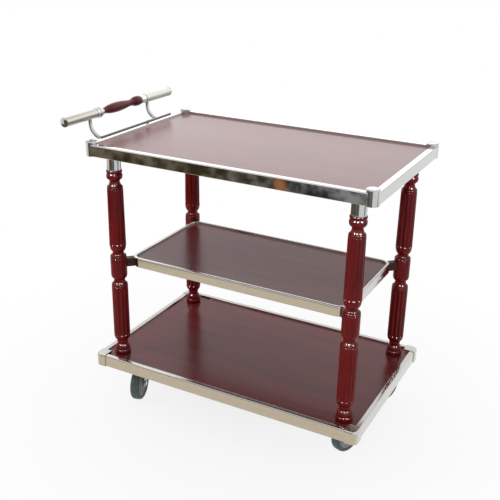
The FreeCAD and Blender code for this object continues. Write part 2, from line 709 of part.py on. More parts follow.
# Castor plates: square plate, bearing race and riveted king pin in one piece, under the base
# board.
castor_x = mm.leg_x - mm.castor_in_x
castor_y = mm.leg_y - mm.castor_in_y
king_low = crown_low - mm.king_head_gap - mm.king_head_tall
castor_plates = []
for name, side_x, side_y in CORNERS:
    side = mm.castor_plate_side
    base = primitive("Part::Box", "castor_base", Length=side, Width=side, Height=mm.castor_plate_thick)
    place(base, -side / 2, -side / 2, castor_top - mm.castor_plate_thick)
    race = primitive("Part::Cylinder", "castor_race", Radius=mm.race_radius, Height=mm.race_tall)
    place(race, ZERO, ZERO, race_low)
    king = primitive("Part::Cylinder", "king_pin", Radius=mm.king_radius, Height=race_low - king_low)
    place(king, ZERO, ZERO, king_low)
    rivet = primitive("Part::Cylinder", "king_head", Radius=mm.king_head_radius, Height=mm.king_head_tall)
    place(rivet, ZERO, ZERO, king_low)
    castor_plate = fused("castor_plate_" + name, [base, race, king, rivet])
    place(castor_plate, mid_x + side_x * castor_x, side_y * castor_y)
    castor_plates.append(castor_plate)
group("castor_plates", castor_plates)

# Castors: a fork folded from strip that swivels on the king pin, an axle bolt with its nut and
# a moulded wheel. Each is drawn trailing towards +Y and then turned about its king pin.
axle_z = mm.wheel_radius
leg_inside = mm.wheel_wide / 2 + mm.fork_clear
leg_outside = leg_inside + mm.fork_leg_thick


def fork(label):
    body = new_body(label)
    half_deep = mm.crown_deep / 2
    crown_sketch = new_sketch(body, "XY_Plane", crown_low)
    rectangle(crown_sketch, -leg_outside, -half_deep, leg_outside, half_deep)
    pad(body, crown_sketch, mm.crown_thick)
    axle_y = mm.castor_trail
    boss = mm.fork_boss
    for start in (leg_inside, -leg_outside):
        side = new_sketch(body, "YZ_Plane", start)
        outline(side, [
            (-half_deep, crown_top), (-half_deep, crown_top - mm.fork_shoulder),
            (axle_y - boss, axle_z, boss), (axle_y, axle_z - boss, boss), (axle_y + boss, axle_z),
            (half_deep, crown_top),
        ])
        pad(body, side, mm.fork_leg_thick)
    king_hole = new_sketch(body, "XY_Plane", crown_low)
    circle(king_hole, ZERO, ZERO, mm.king_radius + mm.running_gap)
    pocket(body, king_hole, mm.crown_thick)
    axle_hole = new_sketch(body, "YZ_Plane", -leg_outside)
    circle(axle_hole, axle_y, axle_z, mm.axle_radius + mm.running_gap)
    pocket(body, axle_hole, 2 * leg_outside)
    return body


def wheel(label):
    body = new_body(label)
    half = mm.wheel_wide / 2
    bore = mm.axle_radius + mm.running_gap
    e = mm.tyre_edge
    sketch = new_sketch(body, "XY_Plane")
    outline(sketch, [
        (-half, bore), (half, bore), (half, mm.wheel_radius - e), (half - e, mm.wheel_radius),
        (-half + e, mm.wheel_radius), (-half, mm.wheel_radius - e),
    ])
    revolve(body, sketch, "H_Axis")
    return body


def axle(label):
    """Bolt across the fork: a hexagon head on one side and a nut on the other."""
    shank = primitive("Part::Cylinder", "axle_shank", Radius=mm.axle_radius, Height=2 * leg_outside)
    place(shank, ZERO, ZERO, -leg_outside)
    ends = []
    for start in (-leg_outside - mm.axle_head_tall, leg_outside):
        end = primitive("Part::Prism", "axle_end", Circumradius=mm.axle_head_radius,
                        Height=mm.axle_head_tall)
        ends.append(place(end, ZERO, ZERO, start))
    upright = fused("axle_upright", [shank] + ends)
    lying = doc.addObject("Part::Compound", label)
    lying.Label = label
    lying.Links = [place(upright, ZERO, ZERO, ZERO, turn.quarter_angle, ALONG_Y)]
    parts.append(lying)
    return lying


TURNS = {"front_left": turn.front_left_angle, "front_right": turn.front_right_angle,
         "back_right": turn.back_right_angle, "back_left": turn.back_left_angle}
for name, side_x, side_y in CORNERS:
    angle = TURNS[name]
    swivel_x = mid_x + side_x * castor_x
    swivel_y = side_y * castor_y
    place(fork("castor_fork_" + name), swivel_x, swivel_y, ZERO, angle)
    for piece in (axle("castor_axle_" + name), wheel("castor_wheel_" + name)):
        place(piece, swivel_x - mm.castor_trail * sine(angle), swivel_y + mm.castor_trail * cosine(angle),
              axle_z, angle)

doc.recompute()
for thing in doc.Objects:
    if "Invalid" in thing.State or "Error" in thing.State:
        raise RuntimeError("%s failed: %s" % (thing.Label, thing.State))
labels = [thing.Label for thing in parts]
if len(set(labels)) != len(labels):
    raise RuntimeError("two pieces share a name")
for thing in parts:
    if thing.Shape.isNull() or not thing.Shape.isValid() or not thing.Shape.Solids:
        raise RuntimeError("%s has no good solid" % thing.Label)

os.makedirs("parts", exist_ok=True)
for thing in parts:
    thing.Shape.exportStep("parts/%s.step" % thing.Label)
print(len(parts), "pieces written")
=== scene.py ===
import json
import math

import bmesh
import bpy
from mathutils import Matrix, Vector


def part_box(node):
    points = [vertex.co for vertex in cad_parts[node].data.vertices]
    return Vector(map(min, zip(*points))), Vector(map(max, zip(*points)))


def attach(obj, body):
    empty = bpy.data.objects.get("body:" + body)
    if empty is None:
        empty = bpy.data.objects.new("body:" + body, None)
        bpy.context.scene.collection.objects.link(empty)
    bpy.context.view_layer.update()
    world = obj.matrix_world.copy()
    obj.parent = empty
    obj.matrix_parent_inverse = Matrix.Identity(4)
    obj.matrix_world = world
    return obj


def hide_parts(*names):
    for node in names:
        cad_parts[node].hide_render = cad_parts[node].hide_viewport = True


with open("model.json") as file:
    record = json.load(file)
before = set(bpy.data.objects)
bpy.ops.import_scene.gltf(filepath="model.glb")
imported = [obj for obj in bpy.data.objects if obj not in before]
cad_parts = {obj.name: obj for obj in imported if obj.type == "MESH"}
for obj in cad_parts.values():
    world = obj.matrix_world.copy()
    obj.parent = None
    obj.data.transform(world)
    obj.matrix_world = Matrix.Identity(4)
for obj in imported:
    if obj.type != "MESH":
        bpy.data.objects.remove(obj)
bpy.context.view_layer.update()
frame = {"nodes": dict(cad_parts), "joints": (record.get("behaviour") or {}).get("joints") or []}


# Boards: three sheets of faced board, dark red-brown with a faint straight figure and a
# satin-gloss face. They are cut to size on a saw, so the frame's own solids serve as they are.
def paint(red, green, blue):
    """A colour from a colour chart, 0 to 255, as the shader wants it."""
    shares = [value / 255 for value in (red, green, blue)]
    return tuple(share / 12.92 if share <= 0.04 else ((share + 0.055) / 1.055) ** 2.4
                 for share in shares) + (1,)


class Wire:
    """A shader socket that takes part in sums."""

    def __init__(self, recipe, socket):
        self.recipe = recipe
        self.socket = socket

    def sum(self, operation, first, second):
        return self.recipe.node("ShaderNodeMath", {"operation": operation}, {0: first, 1: second})

    def __add__(self, other):
        return self.sum("ADD", self, other)

    def __rsub__(self, other):
        return self.sum("SUBTRACT", other, self)

    def __mul__(self, other):
        return self.sum("MULTIPLY", self, other)

    __radd__ = __add__
    __rmul__ = __mul__


class Recipe:
    """The shader nodes of one finish, or of the studio."""

    def __init__(self, owner):
        owner.use_nodes = True
        self.tree = owner.node_tree
        self.tree.nodes.clear()

    def node(self, kind, settings, sockets, out=0):
        made = self.tree.nodes.new(kind)
        for key, value in settings.items():
            if key == "stops":
                stops = made.color_ramp.elements
                while len(stops) < len(value):
                    stops.new(1)
                for stop, (place, shade) in zip(stops, value):
                    stop.position = place
                    stop.color = (shade, shade, shade, 1)
            else:
                setattr(made, key, value)
        for key, value in sockets.items():
            if isinstance(value, Wire):
                self.tree.links.new(value.socket, made.inputs[key])
            else:
                made.inputs[key].default_value = value
        return Wire(self, made.outputs[out]) if made.outputs else made

    def blend(self, share, first, second):
        return self.node("ShaderNodeMix", {"data_type": "RGBA"}, {0: share, 6: first, 7: second}, 2)

    def figure(self, scale, detail=4, rough=0.55, warp=0.0):
        """Noise on the object's own coordinates, stretched by a scale for each axis."""
        place = self.node("ShaderNodeTexCoord", {}, {}, "Object")
        drawn = self.node("ShaderNodeMapping", {}, {"Vector": place, "Scale": scale})
        return self.node("ShaderNodeTexNoise", {}, {
            "Vector": drawn, "Scale": 1.0, "Detail": detail, "Roughness": rough, "Distortion": warp})

    def ramp(self, value, *stops):
        return self.node("ShaderNodeValToRGB", {"stops": stops}, {"Fac": value})

    def bump(self, height, strength, depth):
        return self.node("ShaderNodeBump", {}, {
            "Height": height, "Strength": strength, "Distance": depth})

    def surface(self, sockets):
        shader = self.node("ShaderNodeBsdfPrincipled", {}, sockets)
        self.node("ShaderNodeOutputMaterial", {}, {"Surface": shader})


def new_finish(name):
    """An empty finish, and the recipe that fills it."""
    finish = bpy.data.materials.new(name)
    return finish, Recipe(finish)


def refinish(node, finish):
    """Give one of the frame's own solids its finish."""
    coats = frame["nodes"][node].data.materials
    coats.clear()
    coats.append(finish)


# Streaks run along the board, pores are fine dark ticks in them, and clouds are slow drifts.
laminate, mix = new_finish("dark_laminate")
streaks = mix.figure((2.0, 22, 22), 4, 0.5, 1.2)
pores = mix.figure((26, 900, 900), 3, 0.6)
clouds = mix.figure((2.2, 5, 5), 3)
tone = mix.ramp(streaks * 0.75 + clouds * 0.25, (0.34, 0.0), (0.66, 1.0))
board_colour = mix.blend(tone, paint(99, 32, 35), paint(124, 45, 47))
board_colour = mix.blend(mix.ramp(pores, (0.36, 0.18), (0.46, 0.0)), board_colour, paint(54, 20, 24))
mix.surface({
    "Base Color": board_colour,
    "Roughness": 0.17 + 0.07 * clouds + 0.03 * pores,
    "IOR": 1.52,
    "Specular IOR Level": 0.40,
    "Normal": mix.bump(pores, 0.06, 0.0004),
})
for name in ("top_board", "shelf_board", "base_board"):
    refinish(name, laminate)


# Top rails: polished stainless sheet folded over the board's edge, with a rolled outer edge and
# a lip turned down onto the board. They run between the corner posts and die into them.
MM = 0.001


def rounded(bm, geom, reach, segments, affect="EDGES"):
    """Round edges, or the corners of a wire loop, starting a reach away from each."""
    bmesh.ops.bevel(bm, geom=geom, offset=reach, offset_type="OFFSET", segments=segments,
                    profile=0.5, affect=affect, material=-1)


def soften(bm, spots, corners):
    """Round each corner (across, up, rounding) of a wire by its own rounding."""
    for spot, corner in zip(spots, corners):
        if corner[2]:
            rounded(bm, [spot], corner[2], 4, "VERTICES")


def closed_outline(corners, lying="YZ"):
    """A wire loop through corners (across, up, rounding)."""
    bm = bmesh.new()
    spots = []
    for across, up, rounding in corners:
        spots.append(bm.verts.new((0, across, up) if lying == "YZ" else (across, up, 0)))
    for a, b in zip(spots, spots[1:] + spots[:1]):
        bm.edges.new((a, b))
    soften(bm, spots, corners)
    return bm


def points_of(geom):
    return [item for item in geom if isinstance(item, bmesh.types.BMVert)]


def edges_of(geom):
    return [item for item in geom if isinstance(item, bmesh.types.BMEdge)]


def drawn_out(bm, reach):
    """Fill the loop and pull it out along a vector, as a closed bar."""
    face = bmesh.ops.contextual_create(bm, geom=bm.edges[:])["faces"][0]
    pulled = bmesh.ops.extrude_face_region(bm, geom=[face])["geom"]
    bmesh.ops.translate(bm, vec=reach, verts=points_of(pulled))
    return bm


def stand(bm, name, finish, body="frame", nodes=(), crease=38):
    """Turn a shape drawn in millimetres into a piece that rides on a body of the trolley."""
    bmesh.ops.remove_doubles(bm, verts=bm.verts, dist=0.002)
    bmesh.ops.recalc_face_normals(bm, faces=bm.faces)
    bmesh.ops.scale(bm, vec=(MM, MM, MM), verts=bm.verts)
    for face in bm.faces:
        face.smooth = True
    mesh = bpy.data.meshes.new(name)
    bm.to_mesh(mesh)
    bm.free()
    mesh.set_sharp_from_angle(angle=math.radians(crease))
    mesh.materials.append(finish)
    piece = bpy.data.objects.new(name, mesh)
    bpy.context.scene.collection.objects.link(piece)
    piece.modifiers.new("flat_faces_stay_flat", "WEIGHTED_NORMAL").keep_sharp = True
    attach(piece, body)
    if nodes:
        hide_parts(*nodes)
    return piece


def turn_about(x, y, angle):
    """A place across the floor, turned about the upright axis there."""
    return Matrix.Translation((x, y, 0)) @ Matrix.Rotation(angle, 4, "Z")


def sheet_steel(name, dull, bright, wear):
    """Polished sheet: faint waves from folding, and a haze of fine wear."""
    finish, mix = new_finish(name)
    waves = mix.figure((13, 13, 8), 2, 0.4)
    haze = mix.figure((110, 110, 110), 4, 0.6)
    mix.surface({
        "Base Color": mix.blend(haze, dull, bright),
        "Metallic": 1.0,
        "Roughness": wear + wear * haze,
        "Normal": mix.bump(waves + haze * 0.04, 0.12, 0.0012),
    })
    return finish


stainless = sheet_steel("polished_stainless", paint(188, 187, 186), paint(210, 209, 208), 0.035)


def measured(node):
    """A node's lowest and highest corners in millimetres."""
    low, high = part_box(node)
    return low / MM, high / MM


def folded_section(tall, lip, foot, roundings, sheet=1.5, lip_drop=5.5):
    """The fold from its end: a foot under the board, a wall, and a lip turned down onto the board."""
    places = ((0, 0), (foot, 0), (foot, sheet), (sheet, sheet), (sheet, tall - sheet),
              (lip - sheet, tall - sheet), (lip - sheet, tall - lip_drop), (lip, tall - lip_drop),
              (lip, tall), (0, tall))
    return [(across, up, rounding) for (across, up), rounding in zip(places, roundings)]


def four_sides(half_x, half_y):
    """Each side's name, its turn in degrees, half its length and how far it is from the middle."""
    return (("front", 0, half_x, half_y), ("right", 90, half_y, half_x),
            ("back", 180, half_x, half_y), ("left", 270, half_y, half_x))


def rail_along(section, half, outside, low, middle, angle):
    """A straight length of a folded section on its side of a tray."""
    rail = drawn_out(closed_outline(section), (2 * half, 0, 0))
    bmesh.ops.translate(rail, vec=(-half, -outside, low), verts=rail.verts)
    bmesh.ops.transform(rail, matrix=turn_about(middle, 0, math.radians(angle)), verts=rail.verts)
    return rail


low, high = measured("top_posts")
post_radius = 17
post_to_rail_face = 16
top_x = (low.x + high.x) / 2
top_half_x = (high.x - low.x) / 2 - post_radius
top_half_y = (high.y - low.y) / 2 - post_radius
rail_low = measured("top_rail_front")[0].z
top_section = folded_section(31, 18, 12, (1.4, 0.6, 0.6, 0, 0, 0.7, 0, 0, 1.3, 3.2))
for side, angle, half, away in four_sides(top_half_x, top_half_y):
    rail = rail_along(top_section, half, away + post_to_rail_face, rail_low, top_x, angle)
    stand(rail, "top_rim_" + side, stainless, nodes=["top_rail_" + side])


# Corner posts: short lengths of steel rod at the top tray's corners, turned with a chamfered
# rim and a shallow ring round a slightly domed end. The rails butt against them.
def turned(profile, steps=64):
    """Spin (height, radius, rounding) about the upright axis, as on a lathe."""
    bm = bmesh.new()
    spots = [bm.verts.new((radius, 0, height)) for height, radius, rounding in profile]
    for a, b in zip(spots, spots[1:]):
        bm.edges.new((a, b))
    soften(bm, spots, profile)
    bmesh.ops.spin(bm, geom=bm.verts[:] + bm.edges[:], axis=(0, 0, 1), cent=(0, 0, 0), dvec=(0, 0, 0),
                   angle=2 * math.pi, steps=steps, use_merge=True, use_duplicate=False)
    bmesh.ops.remove_doubles(bm, verts=bm.verts, dist=0.0005)
    return bm


def repeated(bm, places):
    """Copy the drawn shape to each place and drop the first drawing."""
    drawn = bm.verts[:] + bm.edges[:] + bm.faces[:]
    for place in places:
        copy = bmesh.ops.duplicate(bm, geom=drawn)["geom"]
        bmesh.ops.transform(bm, matrix=place, verts=points_of(copy))
    bmesh.ops.delete(bm, geom=points_of(drawn), context="VERTS")
    return bm


chrome, mix = new_finish("bright_steel")
haze = mix.figure((160, 160, 160), 3)
mix.surface({
    "Base Color": mix.blend(haze, paint(184, 184, 183), paint(206, 206, 204)),
    "Metallic": 1.0,
    "Roughness": 0.09 + 0.08 * haze,
    "Normal": mix.bump(haze, 0.03, 0.0003),
})

CORNERS = (("front_left", -1, -1), ("front_right", 1, -1), ("back_right", 1, 1), ("back_left", -1, 1))
post_tall = high.z - low.z
posts = turned([
    (0, 0, 0), (0, 16.4, 0), (0.6, post_radius, 0.2), (post_tall - 2.4, post_radius, 0.5),
    (post_tall, 14.6, 0.5), (post_tall, 13.6, 0.2), (post_tall - 0.7, 13.3, 0.1),
    (post_tall - 0.7, 12.9, 0.1), (post_tall - 0.35, 12.4, 0.2), (post_tall - 0.15, 8, 2),
    (post_tall - 0.1, 0, 0),
], 72)
repeated(posts, [Matrix.Translation((top_x + side_x * top_half_x, side_y * top_half_y, low.z))
                 for name, side_x, side_y in CORNERS])
stand(posts, "corner_posts", chrome, nodes=["top_posts"], crease=30)


# Base rails and corner caps: the same folded stainless section, a little taller and with a
# narrower lip, butted at each corner against a cast cap with one big soft corner.
low, high = measured("base_caps")
base_x = (low.x + high.x) / 2
cap_half_x = (high.x - low.x) / 2
cap_half_y = (high.y - low.y) / 2
cap_tall = high.z - low.z
cap_side = 34
cap_proud = 3
rail_end_in_cap = 0.2
worn_stainless = sheet_steel("worn_stainless", paint(194, 192, 188), paint(214, 212, 208), 0.10)
rail_low = measured("base_rail_front")[0].z
base_section = folded_section(35, 14, 12, (1.6, 0.6, 0.6, 0, 0, 0.7, 0, 0, 1.6, 3.4))
for side, angle, half, away in four_sides(cap_half_x, cap_half_y):
    half = half - cap_side + rail_end_in_cap
    rail = rail_along(base_section, half, away - cap_proud, rail_low, base_x, angle)
    stand(rail, "base_rim_" + side, worn_stainless, nodes=["base_rail_" + side])

# The cap's outer edges are rounded over, and its two inner sides stay square.
inner_corner = 1.2
caps = drawn_out(closed_outline([
    (0, 0, 16.5), (cap_side, 0, 0), (cap_side, cap_side, inner_corner), (0, cap_side, 0),
], "XY"), (0, 0, cap_tall))
top_face = max(caps.faces, key=lambda face: face.calc_center_median().z)
inside = cap_side - inner_corner - 0.3
rounded(caps, [edge for edge in top_face.edges
               if max(v.co.x for v in edge.verts) < inside
               or max(v.co.y for v in edge.verts) < inside], 5.5, 6)
repeated(caps, [turn_about(base_x + side_x * cap_half_x, side_y * cap_half_y, math.radians(angle))
                @ Matrix.Translation((0, 0, low.z))
                for (name, side_x, side_y), angle in zip(CORNERS, (0, 90, 180, 270))])
stand(caps, "base_corner_caps", worn_stainless, nodes=["base_caps"], crease=30)


# Legs: each is one piece of hardwood turned between centres, with two shafts of twelve
# round-nosed flutes, and finished in cherry-red gloss lacquer. They are bolted from below.
def red_lacquer(name, deep, bright, along):
    """Gloss lacquer over stained wood, its grain running along the stretched axis."""
    finish, mix = new_finish(name)
    grain = mix.figure([150 * stretch for stretch in along], 5, 0.62, 0.6)
    drift = mix.figure([26 * max(stretch, 0.35) for stretch in along], 3)
    fleck = mix.figure([420 * max(stretch, 0.15) for stretch in along], 2)
    tone = mix.ramp(grain * 0.7 + drift * 0.3, (0.33, 0.0), (0.68, 1.0))
    wood_colour = mix.blend(tone, deep, bright)
    wood_colour = mix.blend(mix.ramp(fleck, (0.60, 0.0), (0.72, 0.35)), wood_colour, paint(34, 5, 8))
    mix.surface({
        "Base Color": wood_colour,
        "Roughness": 0.34 + 0.12 * grain,
        "IOR": 1.5,
        "Specular IOR Level": 0.06,
        "Coat Weight": 0.24,
        "Coat Roughness": 0.05,
        "Normal": mix.bump(grain, 0.05, 0.0004),
    })
    return finish


lacquer = red_lacquer("cherry_lacquer", paint(76, 4, 8), paint(150, 10, 14), (1, 1, 0.05))

flute_count = 12
cutter_radius = 6.0
cutter_place = 26.5
nose = 8
row_gap = 0.9
lower_shaft = (58, 218)
upper_shaft = (342.5, 509)


def shaft_rows(low, high, low_radius, high_radius):
    """Heights along a shaft, close together where the flutes' round noses are."""
    noses = [end for n in range(1, 10) for end in (low + row_gap * n, high - row_gap * n)]
    middle = [low + (high - low) * share for share in (0.25, 0.5, 0.75)]
    slope = (high_radius - low_radius) / (high - low)
    return [(z, low_radius + slope * (z - low), 0) for z in sorted(noses + middle)]


leg_profile = [
    (0, 0, 0), (0, 21.2, 0.7), (2.2, 22.6, 1.1), (6, 23.4, 2.0), (10.4, 22.9, 1.8), (13.4, 21.6, 0.8),
    (14.2, 20.4, 0.3), (16.6, 20.4, 0.6), (20.5, 20.2, 1.6), (26, 18.6, 2.0), (29.6, 16.2, 0.8),
    (31, 14.6, 0.5), (34.2, 14.5, 0.8), (36.4, 15.5, 0.8), (39.2, 15.9, 1.0), (41.8, 15.3, 0.9),
    (43.4, 14.8, 0.5), (44.6, 15.6, 0.6), (46.8, 18.8, 1.6), (51, 21.8, 2.0), (58, 23.2, 0.9)]
leg_profile += shaft_rows(*lower_shaft, 23.2, 23.2)
leg_profile += [
    (218, 23.1, 0.4), (218.8, 21.6, 0.3), (219.6, 21.5, 0.3), (220.4, 22.3, 0.4), (222.2, 22.7, 0.7),
    (224.2, 22.3, 0.6), (225, 21.2, 0.3), (226.8, 18.8, 0.9), (230.4, 16.6, 1.4), (236.5, 15.5, 1.6),
    (240, 15.5, 0.7), (241.8, 18.2, 1.1), (245.6, 21.4, 1.6), (251.5, 23.0, 1.8), (304.6, 23.0, 0.4),
    (305.4, 21.7, 0.3), (306.2, 21.6, 0.3), (307, 22.4, 0.4), (309, 22.8, 0.8), (311.2, 22.3, 0.6),
    (312, 21.2, 0.3), (313.4, 18.6, 0.8), (315.8, 16.4, 1.0), (319, 15.4, 1.2), (323.5, 15.4, 0.9),
    (325.6, 18.2, 1.3), (331.5, 21.4, 2.4), (342.5, 23.2, 0.9)]
leg_profile += shaft_rows(*upper_shaft, 23.2, 21.9)
leg_profile += [
    (509, 21.8, 0.4), (509.8, 20.4, 0.3), (510.6, 20.3, 0.3), (511.4, 21.2, 0.4), (513.2, 21.6, 0.7),
    (515.2, 21.1, 0.6), (516, 20.0, 0.3), (518, 17.8, 0.9), (522, 15.6, 1.4), (527.5, 14.0, 1.6),
    (531.5, 13.8, 0.6), (533.4, 16.0, 1.0), (536.4, 19.0, 1.2), (539.4, 21.3, 1.2), (544.5, 22.3, 2.0),
    (549.4, 21.6, 1.2), (552, 19.9, 0.5), (553, 19.4, 0.3), (553.9, 20.4, 0.4), (556, 21.5, 0.9),
    (559.6, 21.5, 0.9), (561.4, 20.6, 0.4), (562, 19.8, 0.2), (562, 0, 0)]
# A round-nosed cutter follows each shaft: points that lie inside its path move in to its surface.
leg = turned(leg_profile, 16 * flute_count)
for point in leg.verts:
    for low, high in (lower_shaft, upper_shaft):
        if low < point.co.z < high:
            radius = point.co.xy.length
            angle = math.atan2(point.co.y, point.co.x)
            off = (angle + math.pi / flute_count) % (2 * math.pi / flute_count) - math.pi / flute_count
            past = max(low + nose - point.co.z, point.co.z - high + nose, 0)
            inside = cutter_radius ** 2 - past ** 2 - (cutter_place * math.sin(off)) ** 2
            if inside > 0:
                cut = cutter_place * math.cos(off) - math.sqrt(inside)
                if cut < radius:
                    point.co.xy = point.co.xy * (cut / radius)


def on_leg(name, height):
    """The place on a leg's axis at a height above the floor."""
    low, high = measured("leg_" + name)
    return Matrix.Translation(((low.x + high.x) / 2, (low.y + high.y) / 2, height))


leg_low = measured("leg_front_left")[0].z
for name, side_x, side_y in CORNERS:
    piece = leg.copy()
    bmesh.ops.transform(piece, matrix=on_leg(name, leg_low), verts=piece.verts)
    stand(piece, "turned_leg_" + name, lacquer, nodes=["leg_" + name], crease=34)
leg.free()


# Sleeves: bright steel tube ends between the legs and the top board, with a rolled lower edge
# and a flange that is screwed up into the board.
def joined(bm, other, place=Matrix()):
    """Add another drawn shape to this one, at a place."""
    drawing = bpy.data.meshes.new("drawing")
    bmesh.ops.transform(other, matrix=place, verts=other.verts)
    other.to_mesh(drawing)
    other.free()
    bm.from_mesh(drawing)
    bpy.data.meshes.remove(drawing)
    return bm


def screw(radius, proud):
    """A pan head with a cross recess, its seat at height zero."""
    head = turned([(-0.6, 0, 0), (-0.6, radius, 0), (proud * 0.35, radius, 0.15),
                   (proud * 0.8, radius * 0.75, 0.3), (proud * 0.94, radius * 0.55, 0),
                   (proud, radius * 0.3, 0), (proud, 0, 0)], 32)
    for point in head.verts:
        reach = point.co.xy.length
        if point.co.z > proud * 0.85 and reach < radius * 0.6:
            across = min(abs(point.co.x), abs(point.co.y))
            if across < radius * 0.13:
                point.co.z -= proud * 0.55
    return head


low, high = measured("leg_sleeves")
sleeve_tall = high.z - low.z
sleeve = turned([
    (0, 0, 0), (0, 19.0, 0.2), (0.3, 19.6, 0.2), (1.8, 19.6, 0.3), (2.3, 19.1, 0.2),
    (sleeve_tall - 4.5, 19.1, 1.2), (sleeve_tall - 2.6, 20.6, 0.5), (sleeve_tall - 2.4, 24.2, 0.3),
    (sleeve_tall - 1.6, 24.9, 0.3), (sleeve_tall, 24.9, 0), (sleeve_tall, 0, 0),
], 72)
screw_circle = 22.4
flange_under = sleeve_tall - 2.3
for angle in (45, 135, 225, 315):
    seat = Matrix.Translation((screw_circle, 0, flange_under)) @ Matrix.Rotation(math.pi, 4, "X")
    joined(sleeve, screw(1.7, 0.8), Matrix.Rotation(math.radians(angle), 4, "Z") @ seat)
repeated(sleeve, [on_leg(name, low.z) for name, side_x, side_y in CORNERS])
stand(sleeve, "leg_sleeve_tubes", chrome, nodes=["leg_sleeves"], crease=30)


# Leg bolts: plated coach bolts with hexagon heads, driven up through the base board into the
# legs' feet. Only their heads show, from under the trolley.
plated, mix = new_finish("zinc_plate")
bloom = mix.figure((130, 130, 130), 4, 0.6)
mix.surface({
    "Base Color": mix.blend(bloom, paint(150, 152, 150), paint(182, 183, 178)),
    "Metallic": 1.0,
    "Roughness": 0.28 + 0.16 * bloom,
    "Normal": mix.bump(bloom, 0.08, 0.0004),
})
refinish("leg_bolts", plated)


# Shelf band: one strip of stainless channel bent round the middle shelf, with four large soft
# corners, a rolled outer edge and a narrow lip that stands above the board.
def pulled_on(bm, loop, step):
    """Carry a section's loop of edges straight on, and give the new end's points and edges."""
    pulled = bmesh.ops.extrude_edge_only(bm, edges=loop)["geom"]
    points = points_of(pulled)
    bmesh.ops.translate(bm, vec=step, verts=points)
    return points + [edge for edge in edges_of(pulled) if all(v in set(points) for v in edge.verts)]


def bent_round(bm, end, centre, axis, angle):
    """Carry the section's end round a bend, and give the loop of edges where the bend stops."""
    bend = bmesh.ops.spin(bm, geom=end, axis=axis, cent=centre, dvec=(0, 0, 0), angle=angle,
                          steps=14, use_merge=False, use_duplicate=False)
    return edges_of(bend["geom_last"])


low, high = measured("shelf_band")
shelf_x = (low.x + high.x) / 2
shelf_half_x = (high.x - low.x) / 2
shelf_half_y = (high.y - low.y) / 2
shelf_round = 32
band_wide = 9
band = closed_outline(folded_section(high.z - low.z, band_wide, band_wide,
                                     (2.6, 0.6, 0, 0, 0, 0.6, 0, 0, 1.6, 4.2)))
bmesh.ops.translate(band, vec=(-shelf_half_x + shelf_round, -shelf_half_y, 0), verts=band.verts)
loop = band.edges[:]
for side, (turn_x, turn_y) in enumerate(((1, -1), (1, 1), (-1, 1), (-1, -1))):
    along = 2 * (shelf_half_x if side in (0, 2) else shelf_half_y) - 2 * shelf_round
    straight = Matrix.Rotation(side * math.pi / 2, 3, "Z") @ Vector((along, 0, 0))
    centre = (turn_x * (shelf_half_x - shelf_round), turn_y * (shelf_half_y - shelf_round), 0)
    loop = bent_round(band, pulled_on(band, loop, straight), centre, (0, 0, 1), math.pi / 2)
bmesh.ops.translate(band, vec=(shelf_x, 0, low.z), verts=band.verts)
stand(band, "shelf_rim", worn_stainless, nodes=["shelf_band"], crease=30)


# Shelf blocks: short stained hardwood blocks, hollowed to fit between each leg's barrel and the
# band's corner, and held by a screw through each.
stained, mix = new_finish("dark_stained_wood")
grain = mix.figure((240, 240, 20), 5, 0.6, 0.5)
mix.surface({
    "Base Color": mix.blend(mix.ramp(grain, (0.35, 0.0), (0.66, 1.0)),
                            paint(44, 12, 13), paint(78, 24, 22)),
    "Roughness": 0.36 + 0.14 * grain,
    "Specular IOR Level": 0.2,
    "Coat Weight": 0.12,
    "Coat Roughness": 0.15,
    "Normal": mix.bump(grain, 0.12, 0.0004),
})
refinish("shelf_blocks", stained)


# Push bar: two steel tubes with pressed-in end plugs, a chrome ferrule and end ring, and a
# turned grip between them in the legs' lacquer, all held on one rod.
low, high = measured("bar_tubes")
bar_x = (low.x + high.x) / 2
bar_z = (low.z + high.z) / 2
tube_end = high.y
tube_start = 118
tube_radius = 12.8
tube_bore = 11.6
rod_hole = 4.2
lying = Matrix.Translation((bar_x, 0, bar_z)) @ Matrix.Rotation(-math.pi / 2, 4, "X")

satin, mix = new_finish("satin_steel")
lines = mix.figure((700, 12, 700), 3)
mix.surface({
    "Base Color": mix.blend(lines, paint(168, 165, 158), paint(192, 189, 183)),
    "Metallic": 1.0,
    "Roughness": 0.24 + 0.10 * lines,
    "Normal": mix.bump(lines, 0.05, 0.0002),
})


def on_bar(profile, steps=56):
    """A piece turned about the bar, from places along it towards the back."""
    bm = turned(profile, steps)
    bmesh.ops.transform(bm, matrix=lying, verts=bm.verts)
    return bm


tubes = on_bar([(-tube_end, tube_bore, 0), (-tube_end, tube_radius, 0.3),
                (-tube_start, tube_radius, 0.3), (-tube_start, tube_bore, 0)])
joined(tubes, on_bar([(tube_start, tube_bore, 0), (tube_start, tube_radius, 0.3),
                      (tube_end, tube_radius, 0.3), (tube_end, tube_bore, 0)]))
stand(tubes, "bar_tube_pair", satin, nodes=["bar_tubes"], crease=30)

plug = [(tube_end + past, radius, rounding) for past, radius, rounding in (
    (-8, 0, 0), (-8, 11.4, 0.4), (0.05, 11.5, 0), (0.05, 13.2, 0.2), (0.5, 13.6, 0.3), (1.0, 13.1, 0.4),
    (1.8, 10.4, 1.4), (2.5, 6.6, 1.6), (2.9, 3, 1.4), (2.98, 0, 0))]
plugs = on_bar(plug)
joined(plugs, on_bar([(-place, radius, rounding) for place, radius, rounding in plug]))
stand(plugs, "bar_end_plugs", chrome, nodes=["bar_plugs"], crease=30)

